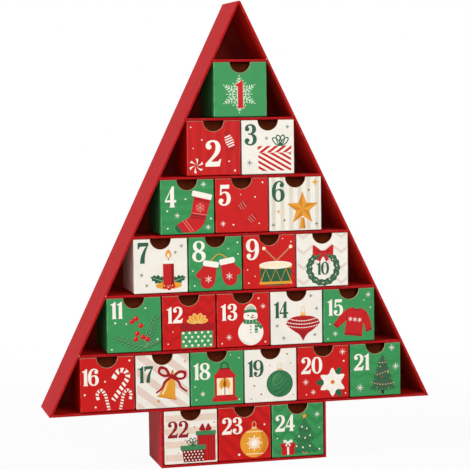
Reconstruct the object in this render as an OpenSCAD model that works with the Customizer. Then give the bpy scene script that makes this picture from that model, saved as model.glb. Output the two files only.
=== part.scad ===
// Tree-shaped advent calendar in red board: shelves of small folded-card drawers in a tall
// triangle, and one more row of them in a box-shaped trunk underneath.
// X runs across the front, Y from the front to the back and Z up. The origin is on the
// ground, in the middle of the footprint.

/* [Drawers] */
// Width of a drawer across its front
drawer_w = 48.8; // [30:0.2:70]
// Height of a drawer
drawer_h = 49.6; // [30:0.2:70]
// Depth of a drawer from front to back
drawer_d = 55.4; // [30:0.2:80]
// Thickness of the folded card
card_t = 0.8; // [0.4:0.1:1.5]
// Radius of the half-round finger notch in the top edge of a front
notch_r = 9.5; // [5:0.5:12]

/* [Fits] */
// Gap between two drawers that stand side by side
drawer_gap = 1.4; // [0.4:0.1:4]
// Gap over a drawer, under the board above it
head_gap = 0.4; // [0.3:0.1:3]
// Gap beside the end drawers of a row, at the wall
side_gap = 0.9; // [0.3:0.1:3]
// Gap behind a drawer, in front of the back panel
back_gap = 0.6; // [0.2:0.1:4]
// How far the front edges of the boards stand back behind the drawer fronts
front_set = 0.5; // [0:0.1:3]

/* [Cabinet] */
// Rows of drawers in the tree, each with one drawer more than the row over it
rows = 6; // [3:1:7]
// Drawers in the trunk
trunk_drawers = 3; // [1:1:3]
// Thickness of a paper-covered board
board_t = 2; // [1.2:0.1:4]
// Height of the flat ridge at the tip, over the inside corner of the two walls
ridge_h = 2; // [1:0.1:2.6]

/* [Hidden] */
pitch_x = drawer_w + drawer_gap;
pitch_z = drawer_h + head_gap + board_t;

// Drawer fronts and back of the cabinet, front edges of the boards, and the face of the back
// panel that they are glued to
back_y = (drawer_d + back_gap + board_t) / 2;
front_y = -back_y;
edge_y = front_y + front_set;
panel_y = back_y - board_t;

// Underside of the base board, and the top of the board under each row, counted from the tip
base_z = board_t + drawer_h + head_gap;
function floor_z(row) = base_z + board_t + (rows - row) * pitch_z;

// A slanted wall moves out by half a drawer for each row, and clears the end drawers' corners
wall_slope = pitch_x / 2 / pitch_z;
wall_run = board_t * sqrt(1 + pow(wall_slope, 2));
tip_in_z = floor_z(1) + drawer_h + (drawer_w / 2 + side_gap) / wall_slope;
tip_z = tip_in_z + ridge_h;
function inner_x(z) = (tip_in_z - z) * wall_slope;
function outer_x(z) = inner_x(z) + wall_run;

// Half widths of the trunk, inside and outside
trunk_in_x = (trunk_drawers * pitch_x - drawer_gap) / 2 + side_gap;
trunk_out_x = trunk_in_x + board_t;

// Where each drawer stands: the middle of its underside, row by row from the tip down
function row_places(count, z) = [for (i = [0:count - 1]) [(i - (count - 1) / 2) * pitch_x, z]];
tree_places = [for (row = [1:rows]) each row_places(row, floor_z(row))];
drawer_places = concat(tree_places, row_places(trunk_drawers, board_t));
drawer_count = len(drawer_places);

board_red = "#c01f28";
card_green = "#3f9d5b";
card_red = "#d2231f";
card_white = "#f3eee6";
// Ground colours of the drawers, in the order of their numbers
drawer_colours = [
    card_green,
    card_red, card_white,
    card_green, card_red, card_white,
    card_white, card_green, card_red, card_white,
    card_green, card_red, card_red, card_white, card_green,
    card_red, card_white, card_green, card_white, card_red, card_green,
    card_white, card_red, card_green
];

function drawer_name(number) = str("drawer_", number < 10 ? "0" : "", number);
function shelf_name(row) = str("shelf_under_row_", row);

// A board with the given outline, seen from the front, between two depths
module board(outline, y_from, y_to) {
    color(board_red)
        translate([0, y_to, 0])
            rotate([90, 0, 0])
                linear_extrude(height = y_to - y_from)
                    polygon(outline);
}

// Tree-shaped panel that every other board is glued to
module back_panel() {
    half_outline = [
        [outer_x(tip_z), tip_z],
        [outer_x(base_z), base_z],
        [trunk_out_x, base_z],
        [trunk_out_x, 0]
    ];
    mirrored = [for (i = [len(half_outline) - 1:-1:0]) [-half_outline[i][0], half_outline[i][1]]];
    board(concat(half_outline, mirrored), panel_y, back_y);
}

// Slanted wall, mitred against its twin at the tip and cut level with the base board
module right_wall() {
    outline = [
        [inner_x(base_z), base_z],
        [outer_x(base_z), base_z],
        [outer_x(tip_z), tip_z],
        [0, tip_z],
        [0, tip_in_z]
    ];
    board(outline, edge_y, panel_y);
}

module left_wall() {
    mirror([1, 0, 0])
        right_wall();
}

// Board across the tree whose ends are cut to the slope of the walls
module cross_board(under_z) {
    over_z = under_z + board_t;
    outline = [
        [-inner_x(under_z), under_z],
        [inner_x(under_z), under_z],
        [inner_x(over_z), over_z],
        [-inner_x(over_z), over_z]
    ];
    board(outline, edge_y, panel_y);
}

// Floor of the open niche in the tip, over the first row
module apex_shelf() {
    cross_board(floor_z(1) + drawer_h + head_gap);
}

module row_shelf(row) {
    cross_board(floor_z(row) - board_t);
}

module base_board() {
    cross_board(base_z);
}

module trunk_right_wall() {
    outline = [
        [trunk_in_x, 0],
        [trunk_out_x, 0],
        [trunk_out_x, base_z],
        [trunk_in_x, base_z]
    ];
    board(outline, edge_y, panel_y);
}

module trunk_left_wall() {
    mirror([1, 0, 0])
        trunk_right_wall();
}

module trunk_floor() {
    outline = [
        [-trunk_in_x, 0],
        [trunk_in_x, 0],
        [trunk_in_x, board_t],
        [-trunk_in_x, board_t]
    ];
    board(outline, edge_y, panel_y);
}

// Open tray folded from one card, with its underside on the ground and its front at front_y
module drawer_tray() {
    inside_w = drawer_w - 2 * card_t;
    inside_d = drawer_d - 2 * card_t;
    difference() {
        translate([-drawer_w / 2, front_y, 0])
            cube([drawer_w, drawer_d, drawer_h]);
        translate([-inside_w / 2, front_y + card_t, card_t])
            cube([inside_w, inside_d, drawer_h]);
        translate([0, front_y + card_t * 1.5, drawer_h])
            rotate([90, 0, 0])
                cylinder(h = card_t * 2, r = notch_r, $fn = 64);
    }
}

module drawer(number) {
    place = drawer_places[number - 1];
    color(drawer_colours[(number - 1) % len(drawer_colours)])
        translate([place[0], 0, place[1]])
            drawer_tray();
}

back_panel();
left_wall();
right_wall();
apex_shelf();
for (row = [1:rows - 1])
    row_shelf(row);
base_board();
trunk_left_wall();
trunk_right_wall();
trunk_floor();
for (number = [1:drawer_count])
    drawer(number);
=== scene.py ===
import math

import bmesh
import bpy
from mathutils import Matrix, Vector


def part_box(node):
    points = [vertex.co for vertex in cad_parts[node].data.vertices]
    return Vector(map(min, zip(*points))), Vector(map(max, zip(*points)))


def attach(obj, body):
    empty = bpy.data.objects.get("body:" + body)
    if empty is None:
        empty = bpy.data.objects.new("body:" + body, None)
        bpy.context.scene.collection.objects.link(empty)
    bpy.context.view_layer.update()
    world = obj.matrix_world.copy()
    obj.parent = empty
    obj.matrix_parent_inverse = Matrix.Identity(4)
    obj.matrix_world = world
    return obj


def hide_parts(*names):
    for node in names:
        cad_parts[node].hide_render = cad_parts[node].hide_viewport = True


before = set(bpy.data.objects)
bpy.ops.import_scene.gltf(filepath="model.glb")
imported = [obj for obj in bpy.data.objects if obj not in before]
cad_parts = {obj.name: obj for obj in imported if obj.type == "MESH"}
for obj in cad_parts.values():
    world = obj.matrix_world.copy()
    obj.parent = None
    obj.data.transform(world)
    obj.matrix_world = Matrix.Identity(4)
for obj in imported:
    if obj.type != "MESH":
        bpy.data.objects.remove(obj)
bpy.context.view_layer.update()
scene = bpy.context.scene
scene.view_settings.view_transform = "Standard"
mm = 0.001
near = 0.2 * mm  # a point this close to a place counts as there
# a normal's part along an axis, where a face looks that way, right that way, or hardly
facing, squareOn, aside = 0.9, 0.99, 0.2
smoothAngle = math.radians(35)
print("frame loaded:", len(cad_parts), "solids")


# small helpers around Blender's operators

def onlySelect(*things):
    bpy.ops.object.select_all(action="DESELECT")
    for thing in things:
        thing.select_set(True)
    bpy.context.view_layer.objects.active = things[-1]


def editMode(thing, selectMode="FACE"):
    onlySelect(thing)
    bpy.ops.object.mode_set(mode="EDIT")
    bpy.ops.mesh.select_mode(type=selectMode)
    bpy.ops.mesh.select_all(action="DESELECT")


def objectMode():
    bpy.ops.object.mode_set(mode="OBJECT")


def pick(thing, part, test):  # selects faces, edges or verts of the mesh in edit mode
    shape = bmesh.from_edit_mesh(thing.data)
    for element in getattr(shape, part):
        if test(element):
            element.select_set(True)
    bmesh.update_edit_mesh(thing.data)


def applyModifier(thing, kind, **settings):
    onlySelect(thing)
    bpy.ops.object.modifier_add(type=kind)
    modifier = thing.modifiers[-1]
    for name, value in settings.items():
        setattr(modifier, name, value)
    bpy.ops.object.modifier_apply(modifier=modifier.name)


def applyPlace(thing):
    onlySelect(thing)
    bpy.ops.object.transform_apply(location=True, rotation=True, scale=True)


def setSlots(thing, *materials):
    while len(thing.data.materials) < len(materials):
        thing.data.materials.append(None)
    for index, material in enumerate(materials):
        thing.data.materials[index] = material


def copyOf(thing, name):  # a copy with its own mesh
    onlySelect(thing)
    bpy.ops.object.duplicate(linked=False)
    double = bpy.context.object
    double.name = double.data.name = name
    return double


def paint(red, green, blue):  # screen colour, 0 to 255, to the shader's linear one
    def linear(value):
        value /= 255
        return value / 12.92 if value <= 0.04045 else ((value + 0.055) / 1.055) ** 2.4
    return (linear(red), linear(green), linear(blue), 1)


# node helpers

def plug(tree, socket, value):
    if isinstance(value, bpy.types.NodeSocket):
        tree.links.new(value, socket)
    else:
        socket.default_value = value


def math2(tree, operation, first, second):
    node = tree.nodes.new("ShaderNodeMath")
    node.operation = operation
    plug(tree, node.inputs[0], first)
    plug(tree, node.inputs[1], second)
    return node.outputs[0]


def ramp(tree, value, fromMin, fromMax, toMin=0.0, toMax=1.0):
    node = tree.nodes.new("ShaderNodeMapRange")
    for index, item in enumerate((value, fromMin, fromMax, toMin, toMax)):
        plug(tree, node.inputs[index], item)
    return node.outputs["Result"]


# camera, at the photograph's angle

cameraSet = {  # mm, degrees and metres
    "lens": 129.22, "sensor": 36, "yaw": 14.043, "pitch": 4.751, "roll": -0.777,
    "place": (-0.37394, -1.49720, 0.33451),
}


def setCamera():
    yaw, pitch, roll = (math.radians(cameraSet[key]) for key in ("yaw", "pitch", "roll"))
    ahead = Vector((math.sin(yaw) * math.cos(pitch), math.cos(yaw) * math.cos(pitch), -math.sin(pitch)))
    right = Vector((math.cos(yaw), -math.sin(yaw), 0))
    above = right.cross(ahead)
    rolledRight = right * math.cos(roll) + above * math.sin(roll)
    rolledAbove = above * math.cos(roll) - right * math.sin(roll)
    turn = Matrix((rolledRight, rolledAbove, -ahead)).transposed().to_4x4()
    bpy.ops.object.camera_add()
    camera = bpy.context.object
    camera.matrix_world = Matrix.Translation(cameraSet["place"]) @ turn
    camera.data.lens = cameraSet["lens"]
    camera.data.sensor_width = cameraSet["sensor"]
    scene.camera = camera


setCamera()
print("camera set")


# floor, world and lamps

studioSet = {
    "floorSize": 6.0, "floorDrop": 0.1, "floorColour": (0.86, 0.86, 0.86, 1), "floorGlow": 0.95,
    "floorFade": (0.25, 0.7), "ambient": 0.15,
    "lamps": {  # place, aim, size, power
        "left": ((-2.4, -0.7, 2.0), (0, 0, 0.2), 1.0, 51),
        "right": ((1.1, -2.05, 0.9), (0, 0, 0.25), 0.7, 17),
        "low": ((-1.2, -1.9, 0.9), (0, 0, 0.2), 0.6, 4),
        "front": ((-0.36, -1.6, 0.42), (0, 0, 0.2), 0.2, 2.9),
        "side": ((0.48, -1.55, 0.46), (0, 0, 0.2), 0.25, 4.4),
    },
}


def directRays(tree):  # rays that see the background itself: from the camera, a gloss or a clear piece
    path = tree.nodes.new("ShaderNodeLightPath").outputs
    seen = math2(tree, "MAXIMUM", path["Is Camera Ray"], path["Is Glossy Ray"])
    return math2(tree, "MAXIMUM", seen, path["Is Transmission Ray"])


def lightTheStage():
    bpy.ops.mesh.primitive_plane_add(size=studioSet["floorSize"],
                                     location=(0, 0, -studioSet["floorDrop"] * mm))
    floor = bpy.context.object
    floor.name = "floor"
    applyPlace(floor)
    sheet = bpy.data.materials.new("floorWhite")
    sheet.use_nodes = True
    tree = sheet.node_tree
    tree.nodes.clear()
    out = tree.nodes.new("ShaderNodeOutputMaterial")
    mix = tree.nodes.new("ShaderNodeMixShader")
    matt = tree.nodes.new("ShaderNodeBsdfDiffuse")
    glow = tree.nodes.new("ShaderNodeEmission")
    matt.inputs["Color"].default_value = studioSet["floorColour"]
    reach = tree.nodes.new("ShaderNodeVectorMath")
    reach.operation = "LENGTH"
    tree.links.new(tree.nodes.new("ShaderNodeTexCoord").outputs["Object"], reach.inputs[0])
    near, far = studioSet["floorFade"]
    white = ramp(tree, reach.outputs["Value"], near, far, studioSet["floorGlow"], 1)
    tree.links.new(math2(tree, "MULTIPLY", white, directRays(tree)), mix.inputs[0])
    tree.links.new(matt.outputs[0], mix.inputs[1])
    tree.links.new(glow.outputs[0], mix.inputs[2])
    tree.links.new(mix.outputs[0], out.inputs["Surface"])
    floor.data.materials.append(sheet)

    world = bpy.data.worlds.new("studio")
    scene.world = world
    world.use_nodes = True
    tree = world.node_tree
    back = tree.nodes["Background"]
    back.inputs["Color"].default_value = (1, 1, 1, 1)
    level = ramp(tree, directRays(tree), 0, 1, studioSet["ambient"], 1)
    tree.links.new(level, back.inputs["Strength"])

    for name, (place, aim, size, power) in studioSet["lamps"].items():
        bpy.ops.object.light_add(type="AREA", location=place)
        lamp = bpy.context.object
        lamp.name = name + "Softbox"
        lamp.data.size = size
        lamp.data.energy = power
        lamp.rotation_euler = (Vector(aim) - Vector(place)).to_track_quat("-Z", "Y").to_euler()


lightTheStage()
print("stage lit")


# shader node groups that several finishes share

def newGroup(name, inputs, outputs):
    group = bpy.data.node_groups.new(name, "ShaderNodeTree")
    for label, kind, value in inputs:
        socket = group.interface.new_socket(label, in_out="INPUT", socket_type=kind)
        if value is not None:
            socket.default_value = value
    for label in outputs:
        group.interface.new_socket(label, in_out="OUTPUT", socket_type="NodeSocketFloat")
    return group, group.nodes.new("NodeGroupInput").outputs, group.nodes.new("NodeGroupOutput").inputs


def noise(tree, vector, scale, detail, rough):
    node = tree.nodes.new("ShaderNodeTexNoise")
    for key, value in (("Vector", vector), ("Scale", scale), ("Detail", detail), ("Roughness", rough)):
        plug(tree, node.inputs[key], value)
    return node.outputs["Fac"]


def blendColour(tree, factor, first, second, blend="MIX"):
    node = tree.nodes.new("ShaderNodeMix")
    node.data_type = "RGBA"
    node.blend_type = blend
    for key, value in (("Factor_Float", factor), ("A_Color", first), ("B_Color", second)):
        socket = next(item for item in node.inputs if item.identifier == key)
        plug(tree, socket, value)
    return next(item for item in node.outputs if item.identifier == "Result_Color")


fibreSet = {  # detail and roughness of each noise, and how they go together
    "fibre": (4.0, 0.65), "cloud": (3.0, 0.5), "middle": (2.0, 0.5),
    "middleScale": 0.22, "middleShare": 0.5, "cloudEnds": (0.32, 0.68),
}


def makePaperGroup():  # fine fibres and broad cloudiness of paper
    group, given, out = newGroup(
        "paperFibre",
        [("Vector", "NodeSocketVector", None), ("Fine", "NodeSocketFloat", 2600.0),
         ("Broad", "NodeSocketFloat", 90.0)],
        ["Fibre", "Cloud", "Height"])
    coarser = math2(group, "MULTIPLY", given["Fine"], fibreSet["middleScale"])
    fibre = noise(group, given["Vector"], given["Fine"], *fibreSet["fibre"])
    cloud = noise(group, given["Vector"], given["Broad"], *fibreSet["cloud"])
    middle = noise(group, given["Vector"], coarser, *fibreSet["middle"])
    swell = math2(group, "MULTIPLY", middle, fibreSet["middleShare"])
    group.links.new(fibre, out["Fibre"])
    group.links.new(ramp(group, cloud, *fibreSet["cloudEnds"]), out["Cloud"])
    group.links.new(math2(group, "ADD", swell, fibre), out["Height"])
    return group


wearHighlightSet = {"noise": (5.0, 0.7), "untouched": 0.82, "span": 0.4, "blur": 0.14}


def makeRubGroup():  # patches where an edge is rubbed through to the pale board, which also paint a highlight along the edge
    group, given, out = newGroup(
        "edgeWearAndHighlight",
        [("Vector", "NodeSocketVector", None), ("Patch", "NodeSocketFloat", 260.0),
         ("Amount", "NodeSocketFloat", 0.5)],
        ["Mask"])
    patch = noise(group, given["Vector"], given["Patch"], *wearHighlightSet["noise"])
    wornAndLit = math2(group, "MULTIPLY", given["Amount"], wearHighlightSet["span"])
    start = math2(group, "SUBTRACT", wearHighlightSet["untouched"], wornAndLit)
    group.links.new(ramp(group, patch, start, math2(group, "ADD", start, wearHighlightSet["blur"])), out["Mask"])
    return group


stripeBlur = 0.04  # share of a half period


def makeStripeGroup():  # straight stripes, or zigzag ones where Rise isn't 0
    group, given, out = newGroup(
        "printedStripe",
        [("Vector", "NodeSocketVector", None), ("Period", "NodeSocketFloat", 0.006),
         ("Share", "NodeSocketFloat", 0.5), ("Zigzag", "NodeSocketFloat", 0.012),
         ("Rise", "NodeSocketFloat", 0.0)],
        ["Mask"])
    split = group.nodes.new("ShaderNodeSeparateXYZ")
    group.links.new(given["Vector"], split.inputs[0])
    fold = math2(group, "PINGPONG", split.outputs["Z"], given["Zigzag"])
    across = math2(group, "ADD", split.outputs["X"], math2(group, "MULTIPLY", fold, given["Rise"]))
    half = math2(group, "MULTIPLY", given["Period"], 0.5)
    level = math2(group, "DIVIDE", math2(group, "PINGPONG", across, half), half)
    start = math2(group, "SUBTRACT", 1 - stripeBlur / 2, given["Share"])
    group.links.new(ramp(group, level, start, math2(group, "ADD", start, stripeBlur)), out["Mask"])
    return group


paperGroup, wearHighlightGroup, stripeGroup = makePaperGroup(), makeRubGroup(), makeStripeGroup()


def placeGroup(tree, group, **values):
    node = tree.nodes.new("ShaderNodeGroup")
    node.node_tree = group
    for key, value in values.items():
        plug(tree, node.inputs[key], value)
    return node.outputs


# papers and cards: roughness, spread of tones, bump, scale of the fibres and of the clouds, gloss
looks = {
    "cover": (0.5, 0.1, 0.3, 1900.0, 60.0, 0.03), "edge": (0.55, 0.1, 0.3, 1900.0, 60.0, 0.03),
    "inside": (0.7, 0.15, 0.35, 1700.0, 70.0, 0.03), "lining": (0.6, 0.12, 0.35, 1500.0, 40.0, 0.05),
    "bare": (0.8, 0.15, 0.3, 3000.0, 400.0, 0.12), "kraft": (0.75, 0.25, 0.4, 1800.0, 150.0, 0.12),
    "card": (0.42, 0.06, 0.15, 2600.0, 90.0, 0.12), "fold": (0.5, 0.06, 0.2, 2600.0, 90.0, 0.12),
    "ink": (0.45, 0.05, 0.12, 2600.0, 90.0, 0.12),
}
paperSet = {"relief": 0.06, "fibreEnds": (0.3, 0.7), "smoother": 0.06, "rougher": 0.08}  # relief in mm


def paperFinish(name, colour, look, extra=None):  # extra changes the colour before the paper's own tones
    rough, spread, bump, fine, broad, gloss = looks[look]
    material = bpy.data.materials.new(name)
    material.use_nodes = True
    tree = material.node_tree
    shader = tree.nodes["Principled BSDF"]
    coords = tree.nodes.new("ShaderNodeTexCoord").outputs["Object"]
    paper = placeGroup(tree, paperGroup, Vector=coords, Fine=fine, Broad=broad)
    base = extra(tree, coords, colour) if extra else colour
    for key in ("Cloud", "Fibre"):
        tone = blendColour(tree, paper[key], (1 - spread,) * 3 + (1,), (1, 1, 1, 1))
        base = blendColour(tree, 1.0, base, tone, "MULTIPLY")
    tree.links.new(base, shader.inputs["Base Color"])
    matt = (rough - paperSet["smoother"], rough + paperSet["rougher"])
    tree.links.new(ramp(tree, paper["Fibre"], *paperSet["fibreEnds"], *matt), shader.inputs["Roughness"])
    shader.inputs["Specular IOR Level"].default_value = gloss
    relief = tree.nodes.new("ShaderNodeBump")
    relief.inputs["Strength"].default_value = bump
    relief.inputs["Distance"].default_value = paperSet["relief"] * mm
    tree.links.new(paper["Height"], relief.inputs["Height"])
    tree.links.new(relief.outputs["Normal"], shader.inputs["Normal"])
    return material


def rubbed(amount, wornAndLit, patch=260.0):  # worn patches that also paint a highlight, as a change for paperFinish
    def extra(tree, coords, colour):
        mask = placeGroup(tree, wearHighlightGroup, Vector=coords, Patch=patch, Amount=amount)["Mask"]
        return blendColour(tree, mask, colour, wornAndLit)
    return extra


# cabinet: boards covered in red paper

boardSet = {
    # the pale rub colour and its amount make worn patches on the rounded edges that also paint a highlight
    # there
    "paper": paint(206, 24, 31), "edge": paint(168, 24, 27), "paleRubAndHighlight": paint(222, 88, 84), "rubAndHighlightAmount": 0.7,
    # inside is the red paper tinted warmer and back the same paper much darker, both as painted shade
    "round": 0.4, "foldedFrom": 25, "flatWithin": 1, "merge": 0.001, "inside": paint(200, 38, 28),
    "back": paint(128, 33, 24),
    "lining": {"inset": 5.0, "tipDrop": 4.0, "thick": 0.15, "sink": 0.03, "colour": paint(176, 22, 30)},
}

boardPaper = paperFinish("boardRedPaper", boardSet["paper"], "cover")
# rounded board edges: worn patches and a painted highlight
boardEdge = paperFinish("boardEdgeWearAndHighlight", boardSet["paper"], "edge",
                        rubbed(boardSet["rubAndHighlightAmount"], boardSet["paleRubAndHighlight"]))
# front-facing edges: the same red paper made darker, as painted shade
frontShadePaper = paperFinish("frontEdgePaintedShade", boardSet["edge"], "edge")
# faces into the niche and rows: the same red paper tinted warmer, as painted shade
insideWarmShadePaper = paperFinish("insideWarmShadePaper", boardSet["inside"], "inside")
# the back panel's inside: the same red paper much darker, as painted shade
backShadePaper = paperFinish("insideBackPaintedShade", boardSet["back"], "inside")
liningPaper = paperFinish("backLiningPaper", boardSet["lining"]["colour"], "lining")
paperSlot, edgeSlot, innerSlot, faceSlot = range(4)

boardNodes = [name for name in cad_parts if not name.startswith("drawer_")]


def facesInside(name, face):  # into the niche or a row of drawers
    if name == "back_panel":
        return face.normal.y < -facing
    if name.endswith("wall"):  # the side towards the middle of the cabinet
        return face.normal.x * face.center.x < -aside * abs(face.center.x)
    return face.normal.z > facing or (face.normal.z < -facing and "shelf" in name)


def cleanCopy(name, label):  # a node's copy, with one face to each flat side
    board = copyOf(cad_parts[name], label)
    board.parent = None
    onlySelect(board)
    bpy.ops.mesh.customdata_custom_splitnormals_clear()
    editMode(board, "VERT")
    bpy.ops.mesh.select_all(action="SELECT")
    bpy.ops.mesh.remove_doubles(threshold=boardSet["merge"] * mm)
    bpy.ops.mesh.dissolve_limited(angle_limit=math.radians(boardSet["flatWithin"]))
    objectMode()
    return board


def coverBoard(name):
    board = cleanCopy(name, "covered_" + name)
    setSlots(board, boardPaper, boardEdge, backShadePaper if name == "back_panel" else insideWarmShadePaper, frontShadePaper)
    for face in board.data.polygons:
        # faces into the cabinet take the inside papers with their painted shade
        if facesInside(name, face):
            face.material_index = innerSlot
        else:
            # front-facing faces take the darker red of painted shade
            face.material_index = faceSlot if face.normal.y < -facing else paperSlot
    applyModifier(board, "BEVEL", width=boardSet["round"] * mm, segments=3, limit_method="ANGLE",
                  angle_limit=math.radians(boardSet["foldedFrom"]), material=edgeSlot)
    onlySelect(board)
    bpy.ops.object.shade_smooth_by_angle(angle=smoothAngle)
    applyModifier(board, "WEIGHTED_NORMAL", keep_sharp=True)
    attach(board, "cabinet")
    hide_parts(name)


def lineBack():  # the sheet of paper that covers the turned-over edges on the back
    lining = boardSet["lining"]
    sheet = cleanCopy("back_panel", "back_lining")
    setSlots(sheet, liningPaper)
    editMode(sheet)
    pick(sheet, "faces", lambda face: face.normal.y < facing)
    bpy.ops.mesh.delete(type="FACE")
    bpy.ops.mesh.select_all(action="SELECT")
    bpy.ops.mesh.inset(thickness=lining["inset"] * mm, depth=0)
    bpy.ops.mesh.select_all(action="INVERT")
    bpy.ops.mesh.delete(type="FACE")
    objectMode()
    top = max(vert.co.z for vert in sheet.data.vertices)
    editMode(sheet, "VERT")
    pick(sheet, "verts", lambda vert: vert.co.z > top - near)  # the sheet ends in a point under the ridge
    bpy.ops.mesh.merge(type="CENTER")
    bpy.ops.transform.translate(value=(0, 0, -lining["tipDrop"] * mm))
    bpy.ops.mesh.select_all(action="SELECT")
    bpy.ops.transform.translate(value=(0, -lining["sink"] * mm, 0))
    objectMode()
    applyModifier(sheet, "SOLIDIFY", thickness=lining["thick"] * mm, offset=1)
    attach(sheet, "cabinet")


nickSet = {  # each place is a board and its left or right end
    "size": (0.45, 0.3, 1.5), "lean": 25.8, "inset": 0.2, "sink": 0.1, "round": 0.1,
    "colour": paint(240, 208, 200),
    "places": (("shelf_under_row_4", 0), ("shelf_under_row_5", 0), ("apex_shelf", 1)),
}
nickPaper = paperFinish("nickedBoard", nickSet["colour"], "bare")


def nickJoints():  # slivers of bare board at a few joints between a shelf and a wall
    slivers = []
    for name, end in nickSet["places"]:
        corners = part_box(name)
        x, y, z = corners[end][0], corners[0][1], corners[1][2]
        side = 1 if end else -1
        bpy.ops.mesh.primitive_cube_add(size=1)
        sliver = bpy.context.object
        sliver.scale = Vector(nickSet["size"]) * mm
        sliver.rotation_euler = (0, math.radians(-side * nickSet["lean"]), 0)
        sliver.location = (x - side * nickSet["inset"] * mm, y + nickSet["sink"] * mm, z)
        applyPlace(sliver)
        setSlots(sliver, nickPaper)
        slivers.append(sliver)
    onlySelect(*slivers)
    bpy.ops.object.join()
    nicks = bpy.context.object
    nicks.name = nicks.data.name = "joint_nicks"
    applyModifier(nicks, "BEVEL", width=nickSet["round"] * mm, segments=2)
    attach(nicks, "cabinet")


lineBack()
for boardName in boardNodes:
    coverBoard(boardName)
nickJoints()
print("boards covered:", len(boardNodes))


# drawers: trays folded from one card

traySet = {
    "card": 0.8, "fold": 0.8, "notch": 9.5, "notchSides": 72, "cutter": 6.0, "rim": 0.2, "lift": 1.0,
    "bury": 0.05, "flap": {"front": 12.0, "side": 2.0},
    "tab": {"long": 11.0, "thick": 0.3, "foot": 2.0, "head": 3.0, "slope": 4.0},
    "inside": paint(232, 104, 56), "cut": paint(218, 182, 146),
}
groundColours = {"red": paint(200, 20, 18), "green": paint(58, 146, 84), "white": paint(240, 234, 223)}
# paler colours for the folds: wear, and a painted highlight along them
wornAndHighlightColours = {"red": paint(216, 84, 74), "green": paint(122, 186, 138), "white": paint(252, 250, 246)}

cardInside = paperFinish("kraftInside", traySet["inside"], "kraft")
cardCut = paperFinish("cutCardEdge", traySet["cut"], "bare")
cardGround = {key: paperFinish("card_" + key, value, "card") for key, value in groundColours.items()}
cardFoldWearHighlight = {key: paperFinish("foldWearHighlight_" + key, value, "fold", rubbed(1.0, wornAndHighlightColours[key], 90.0))
            for key, value in groundColours.items()}
outerSlot, insideSlot, cutSlot, frontSlot, foldSlot = range(5)


def foldTray(width, depth, height):  # a box without its top, rounded at the folds, as thick as the card
    bpy.ops.object.select_all(action="DESELECT")
    lift = traySet["lift"] * mm
    bpy.ops.mesh.primitive_cube_add(size=1, location=(0, 0, (height + lift) / 2))
    tray = bpy.context.object
    tray.scale = (width, depth, height - lift)
    applyPlace(tray)
    spare = (None, None)  # the inside and rim of a fold land here until they join the others
    setSlots(tray, cardGround["red"], cardInside, cardCut, cardGround["white"], cardFoldWearHighlight["red"], *spare)
    editMode(tray)
    pick(tray, "faces", lambda face: face.normal.z > facing)
    bpy.ops.mesh.delete(type="FACE")
    bpy.ops.mesh.select_mode(type="EDGE")
    pick(tray, "edges", lambda edge: not edge.is_boundary)
    bpy.ops.mesh.bevel(offset=traySet["fold"] * mm, segments=4, affect="EDGES", material=foldSlot)
    objectMode()
    for face in tray.data.polygons:  # the paler line of wear and painted highlight runs along the middle of an upright fold
        level = face.normal.z < -aside or max(abs(part) for part in face.normal) > facing
        if face.material_index == foldSlot and level:
            face.material_index = outerSlot
    applyModifier(tray, "SOLIDIFY", thickness=traySet["card"] * mm, offset=-1, use_even_offset=True,
                  material_offset=insideSlot, material_offset_rim=cutSlot)
    for face in tray.data.polygons:
        if face.material_index > foldSlot:
            face.material_index -= foldSlot
    for _ in spare:
        tray.data.materials.pop(index=foldSlot + 1)
    return tray


def cutNotch(tray, depth, height):
    notch = traySet["notch"] * mm
    bpy.ops.mesh.primitive_cylinder_add(
        radius=notch, depth=traySet["cutter"] * mm, vertices=traySet["notchSides"],
        location=(0, -depth / 2, height), rotation=(math.pi / 2, 0, 0))
    cutter = bpy.context.object
    applyPlace(cutter)
    applyModifier(tray, "BOOLEAN", operation="DIFFERENCE", object=cutter, solver="EXACT")
    bpy.data.objects.remove(cutter)
    for face in tray.data.polygons:  # faces of the cut, and the front that takes the print
        centre = face.center
        reach = math.hypot(centre.x, centre.z - height)
        if abs(reach - notch) < near and abs(face.normal.y) < aside and centre.y < 0:
            face.material_index = cutSlot
        elif face.normal.y < -squareOn and centre.y < near - depth / 2:
            face.material_index = frontSlot

    def alongRim(edge):
        kinds = [face.material_index for face in edge.link_faces]
        return len(kinds) == 2 and cutSlot in kinds and not {outerSlot, frontSlot, foldSlot}.isdisjoint(kinds)

    editMode(tray, "EDGE")
    pick(tray, "edges", alongRim)
    bpy.ops.mesh.bevel(offset=traySet["rim"] * mm, segments=2, affect="EDGES", material=cutSlot)
    objectMode()


def glueTab(side, end, width, depth, height):  # a flap of the front or back, glued inside a side
    tab, card = traySet["tab"], traySet["card"] * mm
    tall, long, thick = height - (tab["foot"] + tab["head"]) * mm, tab["long"] * mm, tab["thick"] * mm
    bury = traySet["bury"] * mm
    bpy.ops.mesh.primitive_cube_add(size=1)
    flap = bpy.context.object
    flap.scale = (thick + bury, long, tall)
    flap.location = (side * (width / 2 - card - thick / 2 + bury / 2),
                     end * (depth / 2 - card - long / 2 + bury),
                     tab["foot"] * mm + tall / 2)
    applyPlace(flap)
    free = end * (depth / 2 - card - long + bury)
    editMode(flap, "VERT")
    for upper in (True, False):  # both free corners are cut at a slant
        bpy.ops.mesh.select_all(action="DESELECT")
        pick(flap, "verts",
             lambda vert: abs(vert.co.y - free) < near and (vert.co.z > height / 2) == upper)
        bpy.ops.transform.translate(value=(0, 0, (-1 if upper else 1) * tab["slope"] * mm))
    objectMode()
    setSlots(flap, cardInside)
    return flap


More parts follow.
